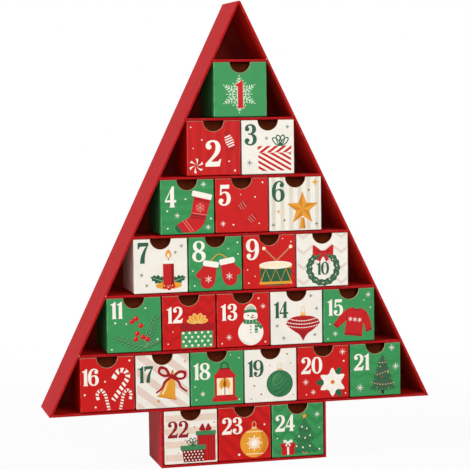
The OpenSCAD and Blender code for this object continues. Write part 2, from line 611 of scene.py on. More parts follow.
def floorFlap(width, depth):  # second layer of the floor, which lifts the folds a little off the shelf
    front, side = (traySet["flap"][key] * mm for key in ("front", "side"))
    thick = (traySet["lift"] + traySet["bury"]) * mm
    bpy.ops.mesh.primitive_cube_add(size=1, location=(0, (front - side) / 2, thick / 2))
    flap = bpy.context.object
    flap.scale = (width - 2 * side, depth - front - side, thick)
    applyPlace(flap)
    setSlots(flap, cardGround["red"])
    return flap


def buildTray():
    low, high = (Vector(corner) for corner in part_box("drawer_01"))
    size = high - low
    tray = foldTray(*size)
    cutNotch(tray, size.y, size.z)
    flaps = [glueTab(side, end, *size) for side in (-1, 1) for end in (-1, 1)] + [floorFlap(size.x, size.y)]
    onlySelect(*flaps, tray)
    bpy.ops.object.join()
    onlySelect(tray)
    bpy.ops.object.shade_smooth_by_angle(angle=smoothAngle)
    applyModifier(tray, "WEIGHTED_NORMAL", keep_sharp=True)
    return tray


trayMaster = buildTray()
print("tray folded:", len(trayMaster.data.polygons), "faces")


# print on the fronts
tones = {
    "redSoft": paint(187, 15, 15), "greenSoft": paint(46, 132, 72), "greenDim": paint(52, 140, 78),
    "oat": paint(220, 214, 196), "blush": paint(226, 205, 190), "shell": paint(230, 208, 188),
    "sand": paint(226, 212, 198),
}
# stripes of a front: tone, angle, period in mm, share, zigzag's half width in mm and rise
frontPatterns = {
    2: ("redSoft", 0, 9.0, 0.5, 0, 0), 4: ("greenDim", 90, 9.0, 0.5, 0, 0),
    6: ("oat", 0, 8.2, 0.45, 0, 0), 8: ("greenDim", 90, 11.0, 0.3, 7.0, 0.8),
    10: ("sand", 90, 14.0, 0.22, 9.0, 0.75), 12: ("redSoft", 90, 12.0, 0.4, 9.0, 0.8),
    17: ("blush", -52, 12.4, 0.5, 0, 0), 21: ("greenDim", 90, 12.0, 0.3, 8.2, 0.5),
    22: ("shell", 90, 12.0, 0.5, 0, 0), 23: ("redSoft", -45, 10.0, 0.45, 0, 0),
    24: ("greenSoft", 90, 13.0, 0.35, 9.0, 0.8),
}
grounds = ("green red white green red white white green red white green red red white green "
           "red white green white red green white red green").split()


def frontFinish(number, centre):
    stripe, angle, period, share, zigzag, rise = frontPatterns[number]

    def stripes(tree, coords, colour):
        turn = tree.nodes.new("ShaderNodeMapping")
        turn.vector_type = "TEXTURE"
        turn.inputs["Location"].default_value = centre
        turn.inputs["Rotation"].default_value = (0, math.radians(angle), 0)
        tree.links.new(coords, turn.inputs["Vector"])
        mask = placeGroup(tree, stripeGroup, Vector=turn.outputs["Vector"], Period=period * mm,
                          Share=share, Zigzag=max(zigzag, 1.0) * mm, Rise=rise)["Mask"]
        return blendColour(tree, mask, colour, tones[stripe])

    return paperFinish("front_%02d" % number, groundColours[grounds[number - 1]], "card", stripes)


# outlines for the print, in mm from the middle of a front, x to the right and y up

def polar(x, y, reach, degrees):
    return (x + reach * math.cos(math.radians(degrees)), y + reach * math.sin(math.radians(degrees)))


def spin(loop, degrees, x=0.0, y=0.0):
    c, s = math.cos(math.radians(degrees)), math.sin(math.radians(degrees))
    return [(x + (px - x) * c - (py - y) * s, y + (px - x) * s + (py - y) * c) for px, py in loop]


def move(loop, x, y, scale=1.0):
    return [(x + px * scale, y + py * scale) for px, py in loop]


def flip(loop):  # mirror image, left to right
    return [(-px, py) for px, py in reversed(loop)]


def oval(x, y, wide, high, turn=0.0, count=24):
    loop = [polar(0, 0, 1, 360 * i / count) for i in range(count)]
    return spin([(x + px * wide, y + py * high) for px, py in loop], turn, x, y)


def disc(x, y, radius, count=24):
    return oval(x, y, radius, radius, 0.0, count)


def panel(x0, y0, x1, y1):
    return [(x0, y0), (x1, y0), (x1, y1), (x0, y1)]


def roundPanel(x0, y0, x1, y1, radius):
    count = 5
    corners = ((x1 - radius, y0 + radius, -90), (x1 - radius, y1 - radius, 0),
               (x0 + radius, y1 - radius, 90), (x0 + radius, y0 + radius, 180))
    return [polar(cx, cy, radius, start + 90 * i / count) for cx, cy, start in corners
            for i in range(count + 1)]


def star(x, y, outer, inner, points):
    return [polar(x, y, inner if i % 2 else outer, 90 + 180 * i / points) for i in range(points * 2)]


def grow(loop, reach):  # the same outline, larger all round
    area = sum(ax * by - bx * ay for (ax, ay), (bx, by) in zip(loop, loop[1:] + loop[:1]))
    side = reach if area > 0 else -reach
    out = []
    for (ax, ay), (bx, by), (cx, cy) in zip(loop[-1:] + loop[:-1], loop, loop[1:] + loop[:1]):
        first, second = math.hypot(bx - ax, by - ay), math.hypot(cx - bx, cy - by)
        nx, ny = (by - ay) / first + (cy - by) / second, (ax - bx) / first + (bx - cx) / second
        length = math.hypot(nx, ny)
        out.append((bx + side * nx / length, by + side * ny / length))
    return out


def clip(loop, x0, y0, x1, y1):  # the part of an outline inside a panel
    for axis, edge, sign in ((0, x0, 1), (0, x1, -1), (1, y0, 1), (1, y1, -1)):
        kept = []
        for a, b in zip(loop, loop[1:] + loop[:1]):
            before, after = sign * (a[axis] - edge), sign * (b[axis] - edge)
            if before >= 0:
                kept.append(a)
            if before * after < 0:
                share = before / (before - after)
                kept.append((a[0] + (b[0] - a[0]) * share, a[1] + (b[1] - a[1]) * share))
        loop = kept
    return loop


def spline(points, closed=False, steps=6):  # smooth line through the points
    count = len(points)
    out = []
    for i in range(count if closed else count - 1):
        near = [(i + k) % count if closed else min(max(i + k, 0), count - 1) for k in (-1, 0, 1, 2)]
        a, b, c, d = (points[k] for k in near)
        for s in range(steps):
            t = s / steps
            out.append(tuple(0.5 * (2 * q + (r - p) * t + (2 * p - 5 * q + 4 * r - u) * t * t
                                    + (3 * q - p - 3 * r + u) * t ** 3) for p, q, r, u in zip(a, b, c, d)))
    return out if closed else out + [points[-1]]


def soft(*points):
    return spline(points, True)


def band(line, width, tip=None):  # a brush stroke along a line, tapering to the tip width
    left, right = [], []
    for i, (x, y) in enumerate(line):
        ax, ay = line[max(i - 1, 0)]
        bx, by = line[min(i + 1, len(line) - 1)]
        length = math.hypot(bx - ax, by - ay) or 1.0
        share = i / (len(line) - 1)
        half = (width if tip is None else width + (tip - width) * share) / 2
        nx, ny = -(by - ay) / length * half, (bx - ax) / length * half
        left.append((x + nx, y + ny))
        right.append((x - nx, y - ny))
    return left + right[::-1]


def stroke(width, *points):  # a smooth brush stroke of even width
    return band(spline(points), width)


def slats(x0, y0, x1, y1, step, share, degrees):  # slanted stripes across a panel
    x, y, reach = (x0 + x1) / 2, (y0 + y1) / 2, math.hypot(x1 - x0, y1 - y0) / 2
    count = int(reach / step) + 1
    bars = [panel(x - reach, y + step * k, x + reach, y + step * (k + share))
            for k in range(-count, count + 1)]
    cut = [clip(spin(bar, degrees, x, y), x0, y0, x1, y1) for bar in bars]
    return [bar for bar in cut if len(bar) > 2]


def dotRows(x0, y0, x1, y1, columns, rows, radius):  # dots in staggered rows
    dots = []
    for row in range(rows):
        for column in range(columns):
            x = x0 + (x1 - x0) * (column + (0.3 if row % 2 else 0.7)) / columns
            dots.append(disc(x, y0 + (y1 - y0) * (row + 0.5) / rows, radius, 12))
    return dots


def outline(text, wide=1.0, high=1.0):  # M, L, C and Z, as in a drawing program
    loops, words, at, steps = [], text.split(), 0, 7
    while at < len(words):
        word = words[at]
        count = {"M": 2, "L": 2, "C": 6, "Z": 0}[word]
        numbers = [float(item) for item in words[at + 1:at + 1 + count]]
        at += count + 1
        if word == "M":
            loops.append([tuple(numbers)])
        elif word == "L":
            loops[-1].append(tuple(numbers))
        elif word == "C":
            corners = (loops[-1][-1], numbers[0:2], numbers[2:4], numbers[4:6])
            for s in range(1, steps + 1):
                t = s / steps
                weights = ((1 - t) ** 3, 3 * t * (1 - t) ** 2, 3 * t * t * (1 - t), t ** 3)
                loops[-1].append(tuple(sum(w * c[k] for w, c in zip(weights, corners)) for k in (0, 1)))
    cleaned = []
    for loop in loops:
        if math.dist(loop[0], loop[-1]) < 1e-6:
            loop = loop[:-1]
        cleaned.append([(px * wide, py * high) for px, py in loop])
    return cleaned


# slab numerals on a grid 100 high, with their widths
numerals = {
    "0": (64, "M 32 101 C 53 101 64 79 64 50 C 64 21 53 -1 32 -1 C 11 -1 0 21 0 50 C 0 79 11 101 32 101 Z "
              "M 32 95 C 42 95 46 78 46 50 C 46 22 42 5 32 5 C 22 5 18 22 18 50 C 18 78 22 95 32 95 Z"),
    "1": (29, "M 7 0 L 31 0 L 31 3 C 29 5 28 8 28 12 L 28 101 L 23 101 C 18 94 11 89 0 87 L 0 82 L 5 82 "
              "C 9 82 10 80 10 76 L 10 12 C 10 8 9 5 7 3 Z"),
    "2": (60, "M 0 0 L 54 0 L 60 28 L 55 28 C 53 21 49 18 41 18 L 21 18 C 31 33 58 45 58 72 "
              "C 58 90 46 101 29 101 C 13 101 2 92 2 79 C 2 71 7 66 13 66 C 19 66 23 70 23 75 "
              "C 23 81 19 83 16 85 C 18 91 22 95 28 95 C 36 95 40 87 40 73 C 40 48 18 32 0 10 Z"),
    "3": (58, "M 28 101 C 45 101 55 91 55 77 C 55 65 48 57 38 54 C 50 51 58 42 58 28 C 58 10 44 -1 27 -1 "
              "C 11 -1 0 8 0 20 C 0 28 5 33 12 33 C 18 33 22 29 22 24 C 22 18 18 16 14 14 C 16 8 20 5 26 5 "
              "C 35 5 40 13 40 28 C 40 43 34 51 22 51 L 17 51 L 17 56 L 22 56 C 33 56 37 64 37 77 "
              "C 37 89 33 95 26 95 C 21 95 17 92 15 87 C 19 85 22 82 22 77 C 22 72 18 68 12 68 "
              "C 6 68 2 72 2 79 C 2 92 12 101 28 101 Z"),
    "4": (53, "M 34 101 L 43 101 L 43 34 L 50 34 L 53 37 L 53 22 L 50 25 L 43 25 L 43 10 "
              "C 43 7 44 5 46 3 L 46 0 L 22 0 L 22 3 C 24 5 25 7 25 10 L 25 25 L 0 25 L 0 32 Z "
              "M 25 34 L 25 77 L 6 34 Z"),
    "5": (58, "M 9 100 L 52 100 L 50 82 L 15 82 L 13 60 C 18 65 24 67 31 67 C 47 67 58 54 58 34 "
              "C 58 13 45 -1 27 -1 C 11 -1 0 8 0 20 C 0 28 5 33 12 33 C 18 33 22 29 22 24 "
              "C 22 18 18 16 14 14 C 16 8 20 5 26 5 C 35 5 40 15 40 33 "
              "C 40 51 36 61 28 61 C 21 61 16 57 12 50 L 6 51 Z"),
    "6": (62, "M 36 101 C 14 101 0 79 0 48 C 0 18 12 -1 32 -1 C 50 -1 62 12 62 31 C 62 50 51 62 37 62 "
              "C 29 62 22 58 18 52 C 19 80 26 95 37 95 C 42 95 45 93 47 90 C 43 89 39 86 39 80 "
              "C 39 74 44 70 49 70 C 55 70 59 75 59 81 C 59 92 50 101 36 101 Z "
              "M 32 56 C 40 56 44 46 44 31 C 44 14 40 5 32 5 C 23 5 18 15 18 31 C 18 47 23 56 32 56 Z"),
    "7": (52, "M 2 100 L 52 100 L 52 88 C 37 60 33 36 33 0 L 13 0 "
              "C 13 32 24 58 43 83 L 19 83 C 11 83 9 79 7 70 L 2 70 Z"),
    "8": (64, "M 32 101 C 49 101 60 92 60 77 C 60 66 53 58 43 53 C 56 48 64 39 64 27 C 64 10 51 -1 32 -1 "
              "C 13 -1 0 10 0 26 C 0 38 8 46 19 51 C 9 56 4 65 4 76 C 4 91 15 101 32 101 Z "
              "M 32 95 C 41 95 45 88 45 78 C 45 68 42 61 36 57 C 25 62 20 68 20 79 C 20 89 24 95 32 95 Z "
              "M 31 5 C 41 5 46 11 46 23 C 46 35 40 41 26 47 C 20 43 16 36 16 25 C 16 13 21 5 31 5 Z"),
}
# where each number stands on its front: left edge, foot and height in mm
numberPlaces = {
    1: (-4.7, -17.0, 24.4), 2: (-7.8, -16.7, 23.2), 3: (-21.6, 1.6, 18.6), 4: (-20.2, -0.3, 18.4),
    5: (-21.3, 0.1, 18.4), 6: (-22.0, 2.1, 18.5), 7: (-21.0, 2.4, 18.5), 8: (-21.2, 2.2, 18.4),
    9: (-21.7, 2.1, 18.7), 10: (-5.3, -13.9, 11.4), 11: (-20.8, 6.0, 15.0), 12: (-20.3, -0.3, 14.5),
    13: (-20.7, -0.1, 14.8), 14: (-21.2, -0.1, 14.8), 15: (-20.6, -0.1, 14.8), 16: (-22.4, -0.7, 14.9),
    17: (-21.9, -0.8, 14.8), 18: (-21.8, -0.8, 14.9), 19: (-21.5, -0.8, 15.0), 20: (-21.2, -0.8, 15.1),
    21: (-20.8, -0.2, 15.1), 22: (-21.3, -0.5, 15.0), 23: (-21.3, -0.3, 15.1), 24: (-21.3, -0.7, 15.1),
}
numberSet = {
    "wide": 1.03, "between": 4, "bold": 0.11,  # stretch, grid units between digits, mm added all round
    "apart": {11: 8, 12: 8, 13: 11, 15: 9, 18: 7},  # grid units where digits stand further apart
    "inks": {1: "red", 22: "numberRed"},  # where the ground doesn't say it
}


def numberLoops(number):
    x, y, high = numberPlaces[number]
    loops, scale, bold = [], high / 100, numberSet["bold"]
    stretch = scale * numberSet["wide"]
    for digit in str(number):
        width, path = numerals["6" if digit == "9" else digit]  # a 9 is a 6 upside down
        shapes = outline(path, stretch, scale)
        shapes = [grow(loop, -bold if i else bold) for i, loop in enumerate(shapes)]
        if digit == "9":
            shapes = [spin(loop, 180, width * stretch / 2, high / 2) for loop in shapes]
        loops += [move(loop, x, y) for loop in shapes]
        x += (width + numberSet["apart"].get(number, numberSet["between"])) * stretch
    return loops


# small ornaments; each is a list of (ink, outlines), printed in that order

def flake(x, y, radius, ink, slim, barbs, turn):  # six arms with barbs, as one outline
    profile = []
    for start, reach in barbs:
        far = start + 0.8 * reach
        profile += [(start, slim), (far, slim + reach), (far + 0.045, slim + reach - 0.03),
                    (start + 0.07, slim)]
    profile.append((1.0, slim * 0.6))
    arm = move([(u, -v) for u, v in profile] + profile[::-1], x, y, radius)
    loop = []
    for k in range(6):
        loop += spin(arm, turn + 60 * k, x, y) + [polar(x, y, radius * 2 * slim, turn + 30 + 60 * k)]
    return [(ink, [loop])]


def sparkle(x, y, radius, ink="white"):  # thin rays, long and short
    rays, slim = 8, 0.17 + 0.015 * radius
    hub = slim / math.sin(math.pi / rays)
    loop = []
    for k in range(rays):
        reach = radius * (0.92 if k % 2 else 1.08)
        loop += spin([(x + reach, y - slim * 0.6), (x + reach, y + slim * 0.6)], 360 * k / rays, x, y)
        loop.append(polar(x, y, hub, 360 * (k + 0.5) / rays))
    return [(ink, [loop])]


def twinkle(x, y, radius, ink):
    return [(ink, [star(x, y, radius, radius * 0.3, 4)])]


def specks(ink, *places):
    return [(ink, [disc(x, y, radius, 10) for x, y, radius in places])]


def scatter(ink, *places):  # sparkles of one ink
    return [layer for x, y, radius in places for layer in sparkle(x, y, radius, ink)]


def bothSides(x, y, scale, *parts):  # each part and its mirror image
    return [[move(part, x, y, scale), move(flip(part), x, y, scale)] for part in parts]


bowLoop = soft((-0.6, 0), (-3.2, 3.6), (-7.2, 4.0), (-7.6, 0.4), (-4.2, -1.2))
bowHole = soft((-2.6, 0.7), (-4.2, 2.4), (-6.2, 2.5), (-6.3, 0.9), (-4.2, 0.1))


def bow(x, y, scale, ink, dark):  # full loops with a dark inside
    tail = [(-0.2, -0.2), (-1.4, -0.6), (-5.4, -6.2), (-3.5, -6.0), (-2.5, -7.6), (-0.1, -2.0)]
    sides = bothSides(x, y, scale, tail, bowLoop, bowHole)
    knot = [(dark, [disc(x, y, 1.7 * scale, 16)]), (ink, [disc(x, y, 1.3 * scale, 16)])]
    return [(ink, sides[0]), (ink, sides[1]), (dark, sides[2])] + knot


def ribbonBow(x, y, scale, ink, tail, turn):  # open loops of narrow ribbon
    art, line = [], band(spline(tail), 1.5, 0.9)
    for turned in (False, True):
        loops = [flip(part) if turned else part for part in (bowLoop, bowHole)]
        art.append((ink, [spin(move(part, x, y, scale), turn, x, y) for part in loops]))
        art.append((ink, [move(flip(line) if turned else line, x, y, scale)]))
    return art + [(ink, [disc(x, y, 1.2 * scale, 16)])]


def lotusBow(x, y, scale, ink, fill, leans):  # a fan of upright loops
    art = []
    for lean in leans:
        loops = [spin(move(oval(0, 4.6, wide, high), x, y, scale), lean, x, y)
                 for wide, high in ((2.3, 4.8), (1.4, 3.7))]
        if fill:
            art.append((fill, loops[:1]))
        art.append((ink, loops))
    return art


def wingBow(x, y, scale, ink, fold):  # two full pointed wings and short tails
    wing = soft((-0.8, 0.2), (-4.2, 3.6), (-8.4, 6.2), (-9.0, 1.8), (-8.2, -2.0), (-4.2, -1.8))
    crease = [(-1.2, 0.4), (-5.6, 1.6), (-5.2, 0.4)]
    tail = [(-0.2, -0.4), (-1.6, -1.0), (-5.8, -6.6), (-4.0, -6.6), (-2.8, -8.2), (-0.1, -2.6)]
    sides = bothSides(x, y, scale, tail, wing, crease)
    knot = roundPanel(x - 1.6 * scale, y - 1.8 * scale, x + 1.6 * scale, y + 1.8 * scale, 0.8 * scale)
    return [(ink, sides[0]), (ink, sides[1]), (fold, sides[2]), (ink, [knot])]


def giftBox(x0, y0, x1, y1, wrap, lid, edge, marks):
    seam = y1 - (y1 - y0) * 0.25
    art = [(wrap, [panel(x0, y0, x1, seam)])] + marks
    return art + [(edge, [panel(x0 - 0.8, seam - 0.7, x1 + 0.8, seam)]),
                  (lid, [panel(x0 - 1.2, seam, x1 + 1.2, y1)])]


def mint(x, y, radius, ink):
    wedges, wedgeCount = [], 6
    for k in range(wedgeCount):
        edge = [(0.12 + 0.88 * t / 6, 360 * k / wedgeCount + 14 * t / 6) for t in range(7)]
        far = [(reach, angle + (30 + 100 * reach) / wedgeCount) for reach, angle in reversed(edge)]
        wedges.append([polar(x, y, radius * reach, angle) for reach, angle in edge + far])
    return [(ink, wedges)]


def hollyLeaf(x, y, length, turn, ink, vein):
    half = [(0.0, 0.0), (0.13, 0.18), (0.22, 0.11), (0.37, 0.27), (0.46, 0.16), (0.62, 0.27), (0.7, 0.14),
            (0.85, 0.17), (0.9, 0.07)]
    loop = half + [(1.0, 0.0)] + [(u, -v) for u, v in reversed(half[1:])]
    line = band([(0.06, 0), (0.9, 0)], 0.045, 0.015)
    return [(key, [spin(move(part, x, y, length), turn, x, y)]) for key, part in ((ink, loop), (vein, line))]


def sprig(x, y, length, turn, ink, thick):  # a twig with thin needles
    pairs, stem, thin = 8, thick / 2 / length, thick / length
    parts = [band([(0, 0), (1.0, 0)], 2 * stem, stem)]
    for i in range(pairs):
        at, reach = 0.06 + 0.86 * i / pairs, 0.2 - 0.08 * i / pairs
        tip, out = at + reach * 0.75, reach * 0.75
        for side in (-1, 1):
            parts.append([(at, side * stem), (tip, side * out), (tip + thin, side * (out - thin / 2)),
                          (at + 1.6 * thin, side * stem)])
    return [(ink, [spin(move(part, x, y, length), turn, x, y) for part in parts])]


def berries(ink, shine, radius, *places):
    fruit = [disc(x, y, radius, 18) for x, y in places]
    return [(ink, fruit[0::2]), (ink, fruit[1::2]),
            (shine, [disc(x - radius * 0.32, y + radius * 0.36, radius * 0.24, 10) for x, y in places])]


def evenLine(points, gap):  # smooth line through the points, cut into equal steps
    out, need = [points[0]], gap
    line = spline(points, steps=12)
    for a, b in zip(line, line[1:]):
        length = math.dist(a, b)
        while need <= length:
            out.append((a[0] + (b[0] - a[0]) * need / length, a[1] + (b[1] - a[1]) * need / length))
            need += gap
        need -= length
    return out


# slanted stripes, each near half of the pitch, along a bent stick
def candyCane(points, width, body, stripe):
    line = evenLine(points, width / 9)
    stick = band(line, width)
    left, right = stick[:len(line)], stick[:len(line) - 1:-1]
    lean, thick, pitch = 2, 4, 9
    marks = [[left[k + lean], left[k + lean + thick], right[k + thick], right[k]]
             for k in range(2, len(line) - lean - thick, pitch)]
    return [(body, [stick]), (stripe, marks)]


def pine(x, top, tiers, ink, shadeInk):  # tiers: top, foot and half width, downwards from the tree's top
    art = []
    for high, low, half in tiers[::-1]:
        waist = top - (high + low) * 0.52
        right = spline([(x + half * 0.45, waist), (x + half, top - low)])
        fringe = [(x + half - half * (i + 1) / 6, top - low + (-1.3 if i % 2 else 1.3)) for i in range(11)]
        left = spline([(x - half, top - low), (x - half * 0.45, waist)])
        loop = [(x, top - high)] + right + fringe + left
        art += [(shadeInk, [move(loop, 0, -0.7)]), (ink, [loop])]
    return art


def bauble(x, y, radius, ink, cap):
    top = y + radius
    ring = [oval(x, top + 4.0, wide, high, 0, 20) for wide, high in ((2.1, 2.8), (1.65, 2.35))]
    return [(cap, ring), (cap, [panel(x - 2.5, top - 0.6, x + 2.5, top + 1.6)]),
            (ink, [disc(x, y, radius, 44)])]


# one picture for each front

whiteSpecks = ((-19.5, -19, 0.7), (20.5, 17.5, 0.6), (-13.5, -13, 0.5), (20.5, -20.5, 0.7), (-20.5, -7, 0.6),
               (12.5, 20.5, 0.5))


def snowflakeFront():
    x, y = -1.0, -4.7
    tips = [(30 + 60 * k, 16.6) for k in range(6)] + [(60 * k, 11.6) for k in range(6)]
    dots = [(*polar(x, y, reach, angle), 0.5) for angle, reach in tips]
    longArms = flake(x, y, 16.0, "frost", 0.017, ((0.3, 0.13), (0.46, 0.2), (0.64, 0.15), (0.8, 0.1)), 30)
    shortArms = flake(x, y, 11.0, "frost", 0.026, ((0.45, 0.13), (0.68, 0.17)), 0)
    halo = [grow(loop, 0.42) for loop in numberLoops(1)]
    return longArms + shortArms + specks("frost", *dots) + [("cream", halo)]


def mintFront():
    dots = specks("white", (-20.9, 18.6, 0.6), (-11.0, 7.2, 0.7), (-19.0, -0.2, 0.5), (13.9, -12.4, 0.7),
                  (19.2, -20.8, 0.9))
    x, y, lean = 14.4, 5.6, 22
    ends = [[(0, 5.4), (-2.6, 8.6), (2.4, 9.0)], [(0, -5.4), (2.6, -8.6), (-2.4, -9.0)]]
    bars = [panel(-half, high - 0.55, half, high + 0.55)
            for half, high in ((2.9, -4.5), (3.6, -2.25), (3.8, 0), (3.6, 2.25), (2.9, 4.5))]
    sweet = [(ink, [spin(move(part, x, y), lean, x, y) for part in parts])
             for ink, parts in (("wine", ends), ("white", bars))]
    return dots + mint(-16.3, -15.9, 6.5, "white") + sweet


def stripedGiftFront():
    box, lid = (-9.2, -21.8, 21.4, -5.6), (-9.8, -5.4, 22.0, 0.6)
    wrap = [("white", [panel(*box)]), ("red", slats(*box, 4.2, 0.5, -30))]
    cover = [("white", [panel(*lid)]), ("red", slats(*lid, 4.4, 0.5, 36))]
    stars = scatter("slate", (18.3, 17.6, 2.0), (-1.4, 7.6, 1.8), (-17.4, -14.2, 3.2))
    return stars + wrap + cover + lotusBow(11.6, 0.8, 1.1, "leaf", None, (-46, -16, 16, 46))


def stockingFront():
    foot = outline("M 6.4 9.8 L 21.4 6.0 L 16.6 -12 C 15.4 -16 12.8 -20 6.2 -23.2 L -3.6 -23.2 L -9.7 -16 "
                   "C -7 -14 -4 -12.5 -1 -11.4 C 2 -10 3.2 -8 3.6 -5.6 Z")
    toe = outline("M -9.7 -16 C -12.4 -18 -11.5 -21.4 -8 -23.2 L -3.6 -23.2 Z")
    pale = [band([(3.8, -5.6), (17.8, -8.2)], 0.5), band([(-4.6, -12.4), (3.4, -23.0)], 0.5),
            band([(-2.0, -11.8), (5.8, -22.6)], 0.5)]
    knit = [band([(3.4, -7.2), (17.4, -9.8)], 1.0), band([(2.6, -9.2), (16.8, -11.8)], 0.8),
            band([(6.2, 7.0), (20.8, 3.3)], 0.9)]
    cuff = spin(roundPanel(4.3, 7.3, 22.7, 12.3, 0.9), -14, 13.5, 9.8)
    sock = [("red", foot), ("leaf", toe), ("darkRed", knit), ("rose", pale), ("white", [cuff])]
    medal = flake(11.7, -1.2, 4.3, "rose", 0.06, ((0.3, 0.16), (0.52, 0.2), (0.76, 0.12)), 30)
    medal += specks("rose", *((*polar(11.7, -1.2, 3.8, 30 * k), 0.4) for k in range(12)))
    dots = specks("white", (-18.4, -3.6, 0.8), (-1.6, 6.8, 0.8), (-18.2, -19.2, 0.8), (21.4, -11.4, 0.8))
    return dots + scatter("white", (15, 19.6, 2.6), (-9.4, -7.8, 2.5), (18.8, -19.0, 2.4)) + sock + medal


def sweetFront():
    dots = specks("white", (19.5, 20, 0.8), (12.5, 7, 0.7), (-1, 9.5, 0.4), (-8, -17.5, 0.8), (16, -17, 0.6))
    bars = ((-2.4, 2.6, 0.45, "rose"), (-0.2, 3.5, 0.45, "rose"), (1.0, 2.8, 0.8, "darkRed"),
            (2.2, 3.2, 0.5, "rose"))
    fan = [(3.0, 0), (6.6, 2.4), (6.2, 0.4), (7.0, -1.8)]
    sweets = []
    for x, y, lean in ((0.4, -0.6, 32), (8.9, -12.4, 44)):
        parts = [("ruby", fan), ("ruby", flip(fan)), ("ruby", oval(0, 0, 4.0, 3.6))]
        parts += [(ink, panel(at - thick / 2, -half, at + thick / 2, half)) for at, half, thick, ink in bars]
        sweets += [(ink, [move(spin(part, lean), x, y)]) for ink, part in parts]
    return dots + sweets + scatter("white", (-17.5, -16.5, 2.4))


def starFront():
    x, y, facets = 6.6, -4.8, []
    for k in range(5):
        tip, side = 90 + 72 * k, 126 + 72 * k
        facets.append([polar(x, y, 0.5, (tip + side) / 2), polar(x, y, 15.0, tip), polar(x, y, 6.2, side)])
    glints = twinkle(18.8, 19.0, 4.0, "gold") + twinkle(-16, -7, 2.2, "gold")
    glints += twinkle(20, -19, 2.0, "leaf") + twinkle(-21, -19, 2.0, "leaf")
    stem = [("gold", [[(5.0, -13), (8.2, -13), (9.6, -23), (3.6, -23)]]),
            ("ochre", [[(6.6, -13), (8.2, -13), (9.6, -23), (6.6, -23)]])]
    figure = [("gold", [star(x, y, 15.6, 6.5, 5)]), ("ochre", facets)]
    return glints + specks("leaf", (12.5, 12, 0.9), (-10.5, -15, 0.9)) + stem + figure


def candleFront():
    leaves = [layer for x, long, turn in ((5.5, 16, 160), (8.5, 15, 18))
              for layer in hollyLeaf(x, -15.5, long, turn, "leaf", "paleGreen")]
    wax = [("gold", [oval(7, -18.0, 12.0, 3.4)]), ("red", [roundPanel(2.0, -18, 12.0, 4.0, 1.2)]),
           ("darkRed", [panel(9.4, -17.5, 11.4, 2.5)]), ("white", [roundPanel(1.7, 1.6, 12.3, 4.4, 1.2)]),
           ("mist", [panel(1.9, 1.4, 12.1, 1.8)]), ("coal", [panel(6.7, 4.4, 7.3, 6.8)])]
    flame = [("gold", [soft((7, 14.4), (9.7, 9.4), (7, 6.0), (4.3, 9.4))]),
             ("cream", [soft((7, 11.2), (8.3, 8.6), (7, 6.8), (5.7, 8.6))])]
    fruit = berries("red", "white", 2.0, (3.6, -19.0), (7.4, -20.4), (11.0, -18.8))
    stars = scatter("slate", (-17.5, -8, 1.9), (19, 17, 2.0), (-13, -17.5, 1.7), (13.5, 11.5, 1.5))
    return stars + leaves + wax + flame + fruit


def mittenFront():
    hand = outline("M -6 8 L 6 8 C 6 4 6.4 2 6.6 -2 C 6.8 -8 4 -11.5 0 -11.5 C -4.6 -11.5 -6.6 -8 -6.4 -3.4 "
                   "C -10 -5 -12 -1.4 -10 1.4 C -8.6 3.4 -6.4 4.4 -6 8 Z")[0]
    left, right = (-6.6, -10.5), (12.4, -8.5)
    wool = [("red", [move(spin(hand, -10), *left, 1.05)]),
            ("red", [move(spin(flip(hand), 10), *right, 1.05)])]
    cuffs = [spin(roundPanel(-13.4, -2.6, 1.2, 2.6, 1.8), -10, *left),
             spin(roundPanel(5.2, -0.6, 19.8, 4.6, 1.8), 10, *right)]
    cord = [("gold", [stroke(0.8, (-6, 1), (3, 8.5), (12, 3.5))])]
    marks = [layer for x, y in ((-6.8, -14.0), (12.6, -12.0))
             for layer in flake(x, y, 3.4, "white", 0.06, ((0.45, 0.2),), 30)]
    dots = specks("white", (-19.5, -19.5, 0.7), (20.5, 18.5, 0.8), (12, 13, 0.6), (21, 8, 0.7),
                  (-21, -6, 0.6))
    return dots + cord + wool + [("white", cuffs)] + marks


def drumFront():
    zigzag = [(-8.4 + 4.75 * i, -6.4 if i % 2 else -18.4) for i in range(7)]
    sticks = [("tan", [band([(-5, 12), (9, -2)], 1.3)]), ("tan", [band([(20, 13), (4, -2)], 1.3)]),
              ("cream", [disc(-5, 12, 1.7, 14), disc(20, 13, 1.7, 14)])]
    shell = [("leaf", [panel(-8.8, -19, 20.4, -4.0)]), ("leaf", [oval(5.8, -19, 14.6, 3.2)]),
             ("gold", [band(zigzag, 0.9)])]
    hoops = [("gold", [roundPanel(-9.6, -20.8, 21.2, -18.4, 1.1), roundPanel(-9.6, -6.4, 21.2, -3.4, 1.2)])]
    skin = [("white", [oval(5.8, -3.4, 15.4, 3.6, 0, 32)]), ("cream", [oval(5.8, -3.4, 13.4, 2.7, 0, 32)])]
    return specks("white", *whiteSpecks) + sticks + shell + hoops + skin


def wreathFront():
    x, y = 0.6, -8.0
    rim = [polar(x, y, 16.0 + 0.45 * math.cos(math.radians(17 * a)), a) for a in range(0, 360, 3)]
    hole = [polar(x, y, 10.4 + 0.5 * math.cos(math.radians(13 * a)), a) for a in range(0, 360, 4)]
    art = [("fir", [rim, hole])]
    for ring, (reach, ink, lean) in enumerate(((14.4, "leaf", 24), (11.8, "pine", -24), (13.2, "sage", -40))):
        places = [18 * k + ring * 7 for k in range(20)]
        art.append((ink, [oval(*polar(x, y, reach, a), 1.8, 0.4, a + 90 + lean, 8) for a in places]))
    spots = ((8, 13), (40, 12), (140, 13.4), (172, 12), (205, 13.6), (238, 12.4), (270, 13.4), (300, 12),
             (332, 13.4))
    dots = specks("cream", *((*polar(x, y, reach, angle), 0.6) for angle, reach in spots))
    return art + dots + wingBow(x, y + 14.4, 1.1, "red", "darkRed")


